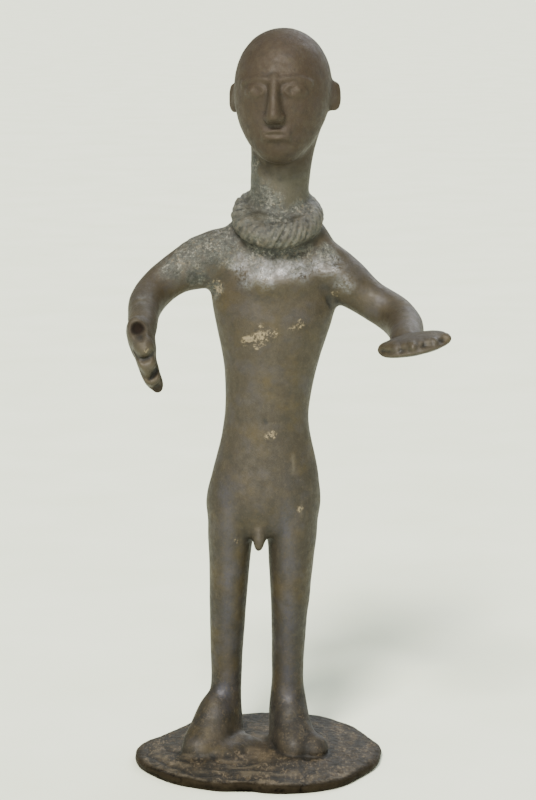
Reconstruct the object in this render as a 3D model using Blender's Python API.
"""A small Iron Age figure of a standing man, cast in bronze in one piece with his neck ring and base plate.

Metres, +Z up. The man faces -Y, his left arm is towards +X, and the origin is the middle of the plate's
underside. The body is laid out on a sculptor's canon: it stands PARTS_TALL parts from sole to crown, and each
place and girth of the body is given in those parts. The plate and the neck ring have sizes of their own.
The wax is built up as a founder would: plain limbs are pressed together and smoothed, then the ring, the
fingers, the ears and the features are laid on, and the whole is cut off flat below.
"""

import math

import bmesh
import bpy
from mathutils import Euler, Matrix, Vector

FIGURE_HEIGHT = 0.137  # sole to crown
PLATE_RADIUS = 0.0242  # of the base plate, before its uneven edge
PLATE_RIM = 0.0017  # thickness of the plate at its edge
PLATE_RISE = 0.0014  # how much higher the plate's middle stands than its edge
RING_WIRE = 0.0044  # thickness of the twisted neck ring
RING_STRANDS = 26  # ridges counted round the ring
RING_TWISTS = 4  # of them that one turn round the bar crosses
RING_WIDTH = 0.0172  # across the outside of the ring, from shoulder to shoulder
RING_DEPTH = 0.0176  # across it from front to back, along its slope
RING_SLOPE = math.radians(31)  # down to the front

PARTS_TALL = 137.0
PART = FIGURE_HEIGHT / PARTS_TALL
SOLE_Z = PLATE_RIM + PLATE_RISE

SOFT_VOXEL = 0.55 * PART  # grain of the smoothed limbs
CRISP_VOXEL = 0.3 * PART  # grain of the finished wax
SMOOTHING_ROUNDS = 16
MOST_TRIANGLES = 9600
FLOOR_CUT = 0.004  # depth of the block that trims the underside flat

# Each station of a limb is x, y, z, half width and half depth, in parts, with z counted from the sole.
TORSO = (
    (1.1, 0.6, 41.2, 9.4, 5.4),
    (1.1, 0.6, 44.5, 10.7, 7.0),
    (1.2, 0.5, 48.5, 11.0, 7.4),
    (1.6, 0.1, 55.4, 9.7, 6.4),
    (1.7, -0.2, 63.5, 8.1, 5.6),
    (2.5, 0.0, 73.0, 8.8, 6.0),
    (3.1, 0.2, 82.0, 11.1, 6.8),
    (3.2, 0.3, 87.0, 12.0, 6.8),
    (3.4, 0.3, 91.0, 12.0, 6.6),
    (3.4, 0.6, 95.0, 11.4, 6.1),
    (3.5, 0.7, 98.6, 10.2, 5.4),
    (3.7, 0.8, 101.4, 8.0, 4.9),
    (3.9, 0.8, 103.2, 6.0, 4.6),
)
NECK = (
    (3.8, 0.7, 94.0, 7.4, 5.2),
    (4.1, 0.6, 101.5, 5.9, 5.2),
    (4.3, 0.4, 108.5, 5.6, 5.0),
    (4.9, 0.5, 115.0, 6.1, 5.3),
    (5.6, 0.9, 120.5, 7.1, 5.7),
    (5.4, 0.6, 124.0, 6.2, 5.0),
)
RIGHT_LEG = (
    (-4.4, 0.4, 47.0, 5.1, 6.3),
    (-5.1, 0.4, 41.0, 4.45, 5.9),
    (-5.3, 0.3, 36.0, 4.0, 5.3),
    (-5.65, 0.3, 27.0, 3.6, 4.6),
    (-5.9, 0.9, 20.0, 3.3, 4.2),
    (-6.0, 1.1, 12.5, 3.0, 3.4),
    (-6.1, 1.0, 7.5, 3.1, 3.4),
    (-6.2, 0.8, 2.5, 3.6, 4.0),
    (-6.2, 0.8, -1.0, 3.7, 4.2),
)
LEFT_LEG = (
    (6.5, 0.4, 47.0, 5.2, 6.3),
    (6.6, 0.4, 41.0, 4.85, 5.9),
    (6.45, 0.3, 36.0, 4.4, 5.4),
    (6.2, 0.3, 27.0, 3.7, 4.7),
    (5.95, 0.9, 20.0, 3.3, 4.2),
    (5.8, 1.0, 12.5, 3.1, 3.5),
    (5.9, 0.7, 7.5, 3.7, 3.8),
    (6.1, 0.5, 2.5, 4.0, 4.2),
    (6.1, 0.5, -1.0, 4.0, 4.4),
)
# Across an arm or a foot, the half width lies level and the half depth stands upright.
RIGHT_ARM = (
    (1.0, 0.6, 93.0, 3.6, 3.6),
    (-5.0, 0.4, 94.0, 4.8, 5.8),
    (-10.5, 0.0, 93.1, 4.5, 5.15),
    (-15.6, -1.4, 90.9, 3.9, 3.9),
    (-19.1, -3.6, 88.2, 3.6, 3.7),
    (-20.7, -8.0, 86.1, 3.3, 3.5),
    (-20.9, -13.5, 84.5, 2.9, 3.2),
    (-20.8, -18.5, 83.2, 2.7, 3.1),
    (-20.7, -21.5, 82.2, 2.1, 2.8),
)
LEFT_ARM = (
    (4.0, 0.6, 91.5, 3.6, 3.6),
    (10.0, 0.4, 92.7, 5.0, 5.5),
    (15.6, 0.0, 90.3, 4.6, 4.85),
    (20.8, -1.2, 86.6, 3.8, 3.75),
    (25.4, -3.4, 83.9, 3.7, 3.8),
    (27.4, -8.0, 82.1, 3.6, 3.6),
    (27.4, -13.5, 81.4, 3.2, 3.2),
    (27.1, -18.5, 80.9, 3.0, 2.6),
    (27.2, -21.5, 80.6, 2.6, 1.6),
)
RIGHT_FOOT = (
    (-5.2, 3.4, 2.0, 2.4, 2.6),
    (-7.0, 0.2, 4.3, 3.9, 6.6),
    (-9.0, -2.8, 2.8, 4.1, 4.6),
    (-10.5, -5.6, 1.6, 4.0, 3.2),
    (-11.9, -8.1, 0.8, 3.5, 2.0),
    (-12.6, -9.5, 0.3, 2.3, 1.0),
)
LEFT_FOOT = (
    (6.0, 3.6, 2.0, 2.6, 2.6),
    (6.1, 0.2, 4.0, 3.7, 6.0),
    (6.8, -3.2, 2.4, 4.1, 4.2),
    (7.7, -6.2, 1.5, 4.2, 2.9),
    (8.3, -8.3, 0.8, 3.4, 1.9),
    (8.6, -9.5, 0.3, 2.0, 0.9),
)
# A bead of wax is x, y, z and its three half sizes.
OUTER_TOES = (11.2, -6.2, 1.0, 2.6, 3.0, 2.5)
SEX = (0.3, -5.6, 41.0, 1.3, 1.6, 2.8)

HEAD_CENTRE = (4.85, -0.6, 124.1)
HEAD_HALF_WIDTH = 9.1
HEAD_HALF_DEPTH = 9.9
HEAD_HALF_HEIGHT = 13.0
HEAD_TILT_BACK = math.radians(10)
HEAD_TURN = math.radians(9)  # towards the man's right
HEAD_LEAN = math.radians(1.5)  # towards his right

# Heights on the face, from 0 at the chin to 1 at the crown, as a drawing book gives them.
BROW_LEVEL = 0.57
EYE_LEVEL = 0.50
NOSE_LEVEL = 0.29
MOUTH_LEVEL = 0.195

# Each digit's angle from its hand's axis, in degrees towards the little finger, and its reach from the wrist.
RIGHT_DIGITS = ((-14, 10.1), (5, 11.1), (25, 11.5), (40, 11.9))
LEFT_DIGITS = ((-52, 7.3), (-21, 9.8), (-3, 10.9), (20, 10.7), (41, 10.4))
DIGIT_RADIUS = 1.3
# The blind hole in the right hand: its two ends and its radius.
SOCKET = ((-21.5, -29.0, 84.9), (-21.4, -24.0, 84.1), 1.3)

# Each bay or bulge in the plate's edge: its middle and spread in degrees, and its share of the radius.
EDGE_BUMPS = ((148, 26, -0.145), (300, 20, 0.075), (67, 22, 0.07), (264, 7, -0.06), (20, 16, -0.03))


def clear_scene():
    for obj in list(bpy.data.objects):
        bpy.data.objects.remove(obj, do_unlink=True)


def place(x, y, z):
    """A point of the body, from parts to metres."""
    return Vector((x * PART, y * PART, SOLE_Z + z * PART))


def between(stations, steps):
    """The stations with steps intervals between each two, on a Catmull-Rom curve through them."""
    rows = [list(s) for s in stations]
    ends = [[2 * a - b for a, b in zip(rows[0], rows[1])], *rows]
    ends.append([2 * a - b for a, b in zip(rows[-1], rows[-2])])
    found = []
    for p, a, b, n in zip(ends, ends[1:], ends[2:], ends[3:]):
        for step in range(steps):
            t = step / steps
            found.append(
                [
                    0.5 * (2 * a[k] + (b[k] - p[k]) * t + (2 * p[k] - 5 * a[k] + 4 * b[k] - n[k]) * t**2
                           + (3 * a[k] - p[k] - 3 * b[k] + n[k]) * t**3)
                    for k in range(len(a))
                ]
            )
    return [*found, rows[-1]]


def skin(bm, rings):
    """Closes a stack of rings, each a list of as many points, into one solid of quads with flat ends."""
    rows = [[bm.verts.new(p) for p in ring] for ring in rings]
    count = len(rows[0])
    for low, high in zip(rows, rows[1:]):
        for k in range(count):
            bm.faces.new((low[k], low[(k + 1) % count], high[(k + 1) % count], high[k]))
    bm.faces.new(rows[0][::-1])
    bm.faces.new(rows[-1])


def ellipse(centre, across, along, sides):
    """A ring of points round centre, with the two half axes as vectors."""
    turns = (2 * math.pi * k / sides for k in range(sides))
    return [centre + across * math.cos(t) + along * math.sin(t) for t in turns]


def upright(bm, stations, sides=28, steps=4):
    """A trunk or leg: level ellipses stacked up."""
    rings = [
        ellipse(place(x, y, z), Vector((w * PART, 0, 0)), Vector((0, d * PART, 0)), sides)
        for x, y, z, w, d in between(stations, steps)
    ]
    skin(bm, rings)


def limb(bm, stations, sides=20, steps=4):
    """An arm: ellipses square to the line that it follows."""
    rows = between(stations, steps)
    line = [place(*row[:3]) for row in rows]
    rings = []
    for k, (_, _, _, w, d) in enumerate(rows):
        run = (line[min(k + 1, len(line) - 1)] - line[max(k - 1, 0)]).normalized()
        level = run.cross(Vector((0, 0, 1))).normalized()
        rings.append(ellipse(line[k], level * w * PART, level.cross(run) * d * PART, sides))
    skin(bm, rings)


def bead(bm, matrix, half_sizes):
    """An ellipsoid, in metres."""
    bmesh.ops.create_uvsphere(
        bm, u_segments=20, v_segments=14, radius=1, matrix=matrix @ Matrix.Diagonal((*half_sizes, 1))
    )


def roll(bm, start, end, thick_start, thick_end, sides=12, cap=3):
    """A roll of wax between two points, with round ends, in metres."""
    run = end - start
    across = run.orthogonal().normalized()
    along = run.normalized().cross(across)
    steps = [math.pi / 2 * k / cap for k in range(1, cap)]
    rows = [(start - run.normalized() * thick_start * math.cos(a), thick_start * math.sin(a)) for a in steps]
    rows += [(start, thick_start), (end, thick_end)]
    rows += [(end + run.normalized() * thick_end * math.cos(a), thick_end * math.sin(a)) for a in steps[::-1]]
    skin(bm, [ellipse(centre, across * r, along * r, sides) for centre, r in rows])


def head_frame():
    """The head's own frame: parts from its middle, with the face towards -Y."""
    turn = Euler((-HEAD_TILT_BACK, -HEAD_LEAN, -HEAD_TURN), "XYZ").to_matrix().to_4x4()
    return Matrix.Translation(place(*HEAD_CENTRE)) @ turn @ Matrix.Scale(PART, 4)


def head_surface(x, level):
    """The bald egg's front, x parts from its middle line, at a level from 0 (chin) to 1 (crown)."""
    t = 2 * level - 1
    girth = math.sqrt(1 - t * t)
    half_width = HEAD_HALF_WIDTH * girth * (1 + 0.14 * t)
    half_depth = HEAD_HALF_DEPTH * girth * (1 + 0.28 * t)
    middle = 0.6 - 5.4 * ((1 - t) / 2) ** 2
    reach = math.sqrt(max(0.0, 1 - (x / half_width) ** 2)) * half_depth
    return Vector((x, middle - reach, t * HEAD_HALF_HEIGHT))


def head(bm):
    """The bald egg: a globe drawn in to the chin, with the chin pushed forwards."""
    made = bmesh.ops.create_uvsphere(bm, u_segments=32, v_segments=24, radius=1)
    frame = head_frame()
    for v in made["verts"]:
        t = v.co.z
        middle = 0.6 - 5.4 * ((1 - t) / 2) ** 2
        v.co = frame @ Vector(
            (
                v.co.x * HEAD_HALF_WIDTH * (1 + 0.14 * t),
                v.co.y * HEAD_HALF_DEPTH * (1 + 0.28 * t) + middle,
                t * HEAD_HALF_HEIGHT,
            )
        )


def ears(bm):
    """Each ear is a low upright leaf with a curled rim, like the handle of a cup."""
    frame = head_frame()
    for side in (-1, 1):
        leaf = frame @ Matrix.Translation((side * 8.8, 0.9, 0.2))
        bead(bm, leaf, (1.1, 1.2, 2.3))
        rim = [
            leaf @ Vector((side * (0.2 + 1.1 * math.cos(a)), 0.9 * math.cos(a) + 0.2, 2.35 * math.sin(a)))
            for a in (math.pi * (0.5 - k / 10) for k in range(11))
        ]
        for a, b in zip(rim, rim[1:]):
            roll(bm, a, b, 0.6 * PART, 0.6 * PART, sides=8, cap=2)


def nose(bm):
    """A straight nose that grows out of the brow and widens to its wings."""
    frame = head_frame()
    rings = []
    for level, half_width, out in (
        (BROW_LEVEL + 0.03, 0.8, 0.4),
        (EYE_LEVEL, 0.95, 1.3),
        ((EYE_LEVEL + NOSE_LEVEL) / 2, 1.25, 2.0),
        (NOSE_LEVEL, 1.75, 2.6),
        (NOSE_LEVEL - 0.02, 1.5, 1.7),
    ):
        across, along = Vector((half_width, 0, 0)), Vector((0, out, 0))
        rings.append([frame @ p for p in ellipse(head_surface(0, level), across, along, 16)])
    skin(bm, rings)


def eyes(bm):
    """An almond in a raised rim, one eye's width from the next, under a low brow ridge."""
    frame = head_frame()
    half_length = HEAD_HALF_WIDTH / 5
    for side in (-1, 1):
        rim = []
        for k in range(24):
            a = 2 * math.pi * k / 24
            x = side * 2 * half_length + half_length * math.cos(a)
            level = EYE_LEVEL + 0.036 * math.sin(a) * abs(math.sin(a)) ** 0.4
            rim.append(frame @ head_surface(x, level))
        for a, b in zip(rim, rim[1:] + rim[:1]):
            roll(bm, a, b, 0.4 * PART, 0.4 * PART, sides=8, cap=2)
        centre = head_surface(side * 2 * half_length, EYE_LEVEL)
        bead(bm, frame @ Matrix.Translation(centre), (half_length * 0.66, 0.45, 0.6))
        brow = [
            frame @ head_surface(side * (1.2 + 5.2 * t), BROW_LEVEL + 0.022 * math.sin(math.pi * t) - 0.012 * t)
            for t in (k / 8 for k in range(9))
        ]
        for a, b in zip(brow, brow[1:]):
            roll(bm, a, b, 0.52 * PART, 0.52 * PART, sides=8, cap=2)


def mouth(bm):
    """Two level lips with a slit between them, as wide as from one pupil's inner edge to the other's."""
    frame = head_frame()
    half_length = HEAD_HALF_WIDTH / 5 * 1.55
    for level, thick in ((MOUTH_LEVEL + 0.024, 0.44), (MOUTH_LEVEL - 0.026, 0.5)):
        line = [frame @ head_surface(half_length * s, level) for s in (-0.85, -0.45, 0, 0.45, 0.85)]
        for a, b in zip(line, line[1:]):
            roll(bm, a, b, thick * PART, thick * PART, sides=8, cap=2)


def hand_frame(wrist, outward, back, turn):
    """A hand's own frame, in parts: +Y along it, +X to the little finger, +Z out of its back."""
    flat = Matrix((outward, Vector((0, -1, 0)), back)).transposed().to_4x4()
    return Matrix.Translation(place(*wrist)) @ flat @ Matrix.Rotation(-turn, 4, "Z") @ Matrix.Scale(PART, 4)


RIGHT_HAND = hand_frame(
    (-21.1, -18.2, 82.9), Vector((0.3, 0, -0.954)), Vector((-0.954, 0, -0.3)), math.radians(28)
)
LEFT_HAND = hand_frame((27.1, -18.2, 80.9), Vector((0.98, 0, 0.2)), Vector((-0.2, 0, 0.98)), math.radians(8))


def palms(bm):
    """The right palm is thick and cupped round the socket; the left is a flat leaf under its digits."""
    bead(bm, RIGHT_HAND @ Matrix.Translation((-0.6, 4.0, 0.2)), (4.9, 4.9, 2.5))
    bead(bm, RIGHT_HAND @ Matrix.Translation((2.6, 5.4, 0.3)), (5.0, 4.2, 1.7))
    bead(bm, LEFT_HAND @ Matrix.Translation((0.7, 5.0, -0.9)), (6.3, 5.9, 1.05))


def digits(bm, frame, fan):
    """Short digits in a fan, each free only at its tip."""
    for angle, reach in fan:
        way = Vector((math.sin(math.radians(angle)), math.cos(math.radians(angle)), 0))
        root, tip = way * 2.5, way * (reach - DIGIT_RADIUS)
        roll(bm, frame @ root, frame @ tip, DIGIT_RADIUS * 1.05 * PART, DIGIT_RADIUS * PART)


def edge_radius(turn):
    """The plate's uneven edge."""
    share = 1 + 0.004 * math.sin(13 * turn)
    for middle, spread, bump in EDGE_BUMPS:
        away = math.degrees(math.remainder(turn - math.radians(middle), 2 * math.pi))
        share += bump * math.exp(-((away / spread) ** 2))
    return PLATE_RADIUS * share


def plate(bm, sides=96):
    """The base plate: a rounded edge, a top that rises to the feet, and a stub below the trim line."""
    half_rim = PLATE_RIM / 2
    rows = [(0.97, -FLOOR_CUT / 2), (0.97, 0.0)]
    rows += [
        (0.97 + 0.03 * math.sin(a), half_rim - half_rim * math.cos(a))
        for a in (math.pi * k / 6 for k in range(1, 6))
    ]
    rows += [(s, PLATE_RIM + PLATE_RISE * (1 - (s / 0.97) ** 2)) for s in (0.96, 0.8, 0.6, 0.4, 0.2)]
    rings = []
    for share, z in rows:
        rings.append(
            [
                Vector((math.cos(t), math.sin(t), 0)) * edge_radius(t) * share + Vector((0, 0, z))
                for t in (2 * math.pi * k / sides for k in range(sides))
            ]
        )
    skin(bm, rings)


def neck_ring(bm, around=182, sides=16):
    """The twisted ring: a round bar, thicker in front, with strands that wind round it."""
    frame = Matrix.Translation(place(3.7, -1.0, 102.0)) @ Matrix.Rotation(RING_SLOPE, 4, "X")
    columns = []
    for k in range(around):
        turn = 2 * math.pi * k / around
        front = (1 - math.sin(turn)) / 2
        thick = RING_WIRE / 2 * (0.84 + 0.28 * front)
        outward = Vector((math.cos(turn), math.sin(turn), 0))
        half_x, half_y = RING_WIDTH / 2 - thick, RING_DEPTH / 2 - thick
        middle = Vector((math.cos(turn) * half_x, math.sin(turn) * half_y, 0))
        ring = []
        for j in range(sides):
            about = 2 * math.pi * j / sides
            strand = abs(math.cos((RING_STRANDS * turn - RING_TWISTS * about) / 2))
            radius = thick * (0.82 + 0.26 * strand)
            offset = outward * math.cos(about) * radius + Vector((0, 0, 1)) * math.sin(about) * radius
            ring.append(bm.verts.new(frame @ (middle + offset)))
        columns.append(ring)
    for a, b in zip(columns, columns[1:] + columns[:1]):
        for j in range(sides):
            bm.faces.new((a[j], b[j], b[(j + 1) % sides], a[(j + 1) % sides]))


def mesh_object(name, bm):
    bmesh.ops.recalc_face_normals(bm, faces=bm.faces)
    mesh = bpy.data.meshes.new(name)
    bm.to_mesh(mesh)
    bm.free()
    obj = bpy.data.objects.new(name, mesh)
    bpy.context.scene.collection.objects.link(obj)
    return obj


def fuse(obj, voxel):
    """Fuses overlapping closed shapes into one skin."""
    remesh = obj.modifiers.new("fuse", "REMESH")
    remesh.mode = "VOXEL"
    remesh.voxel_size = voxel


def soften(obj, rounds):
    smooth = obj.modifiers.new("soften", "SMOOTH")
    smooth.factor = 0.5
    smooth.iterations = rounds


def finished_mesh(obj):
    """The object's mesh with its modifiers applied. The object itself is removed."""
    bpy.context.view_layer.update()
    graph = bpy.context.evaluated_depsgraph_get()
    mesh = bpy.data.meshes.new_from_object(obj.evaluated_get(graph))
    bpy.data.objects.remove(obj, do_unlink=True)
    return mesh


def bronze():
    """Cast bronze with an old brown patina."""
    material = bpy.data.materials.new("patinated_bronze")
    material.use_nodes = True
    shader = material.node_tree.nodes["Principled BSDF"]
    shader.inputs["Base Color"].default_value = (0.118, 0.098, 0.062, 1)
    shader.inputs["Metallic"].default_value = 0.35
    shader.inputs["Roughness"].default_value = 0.5
    return material


def soft_forms():
    """Trunk, limbs, feet and palms, pressed together and smoothed."""
    bm = bmesh.new()
    for stations in (TORSO, NECK, RIGHT_LEG, LEFT_LEG):
        upright(bm, stations)
    for stations in (RIGHT_ARM, LEFT_ARM, RIGHT_FOOT, LEFT_FOOT):
        limb(bm, stations)
    palms(bm)
    head(bm)
    x, y, z, across, along, high = OUTER_TOES
    bead(bm, Matrix.Translation(place(x, y, z)), (across * PART, along * PART, high * PART))
    bead(bm, Matrix.Translation(place(*SEX[:3])), tuple(v * PART for v in SEX[3:]))
    obj = mesh_object("soft_forms", bm)
    fuse(obj, SOFT_VOXEL)
    soften(obj, SMOOTHING_ROUNDS)
    return finished_mesh(obj)


def crisp_forms(bm):
    """What is laid on the smoothed wax and keeps its edges."""
    plate(bm)
    neck_ring(bm)
    ears(bm)
    nose(bm)
    eyes(bm)
    mouth(bm)
    digits(bm, RIGHT_HAND, RIGHT_DIGITS)
    digits(bm, LEFT_HAND, LEFT_DIGITS)


def cutters():
    """The block below the floor line that trims the plate flat, and the plug that leaves the socket."""
    bm = bmesh.new()
    bmesh.ops.create_cube(bm, size=1)
    bmesh.ops.scale(bm, vec=(4 * PLATE_RADIUS, 4 * PLATE_RADIUS, 2 * FLOOR_CUT), verts=bm.verts)
    bmesh.ops.translate(bm, vec=(0, 0, -FLOOR_CUT), verts=bm.verts)
    start, end, radius = SOCKET
    roll(bm, place(*start), place(*end), radius * PART, radius * PART, sides=14)
    obj = mesh_object("cutters", bm)
    obj.hide_render = True
    obj.display_type = "WIRE"
    return obj


def figure():
    bm = bmesh.new()
    crisp_forms(bm)
    bmesh.ops.recalc_face_normals(bm, faces=bm.faces)
    bm.from_mesh(soft_forms())
    obj = mesh_object("bronze_figure", bm)
    fuse(obj, CRISP_VOXEL)
    fused_faces = len(finished_copy(obj).polygons)
    thin = obj.modifiers.new("thin", "DECIMATE")
    thin.ratio = MOST_TRIANGLES / (2 * fused_faces)
    trim = obj.modifiers.new("trim", "BOOLEAN")
    trim.operation = "DIFFERENCE"
    trim.object = cutters()
    obj.data.materials.append(bronze())
    return obj


def finished_copy(obj):
    """The object's mesh as its modifiers now leave it."""
    bpy.context.view_layer.update()
    graph = bpy.context.evaluated_depsgraph_get()
    return obj.evaluated_get(graph).to_mesh()


clear_scene()
figure()
